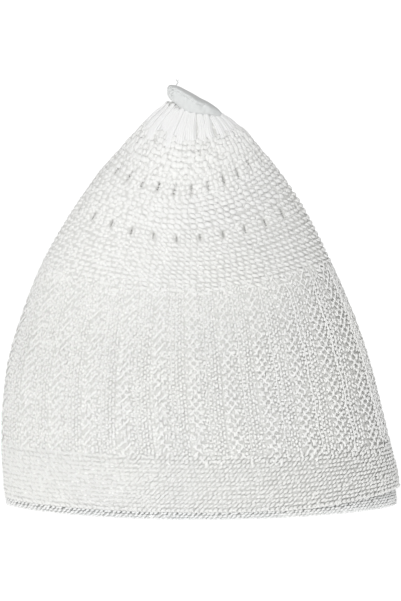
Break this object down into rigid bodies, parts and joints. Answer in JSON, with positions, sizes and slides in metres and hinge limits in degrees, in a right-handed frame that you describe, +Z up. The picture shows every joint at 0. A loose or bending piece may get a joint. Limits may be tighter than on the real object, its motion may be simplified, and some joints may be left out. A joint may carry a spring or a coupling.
{
  "type": "knitted prayer cap",
  "caption": "White knitted prayer cap, pointed and drawn in at the crown, with rounds of eyelets, a ribbed side and a turned-up hem.",
  "frame": {"origin": "on the surface that the cap stands on, midway across its rim", "axes": "+Z up to the crown's drawn-in end, -Y out of the front face that the picture shows, +X to the viewer's right"},
  "size_m": [0.196, 0.0844, 0.208],
  "materials": {
    "white_knit": "glossy white nylon yarn, knitted",
    "white_knit_facing": "white nylon yarn, finely knitted, a little shaded",
    "white_yarn_end": "satin white yarn, drawn tight"
  },
  "bodies": {
    "root": {"cap_body": "white_knit", "hem_facing": "white_knit_facing", "crown_knot": "white_yarn_end"}
  },
  "joints": []
}
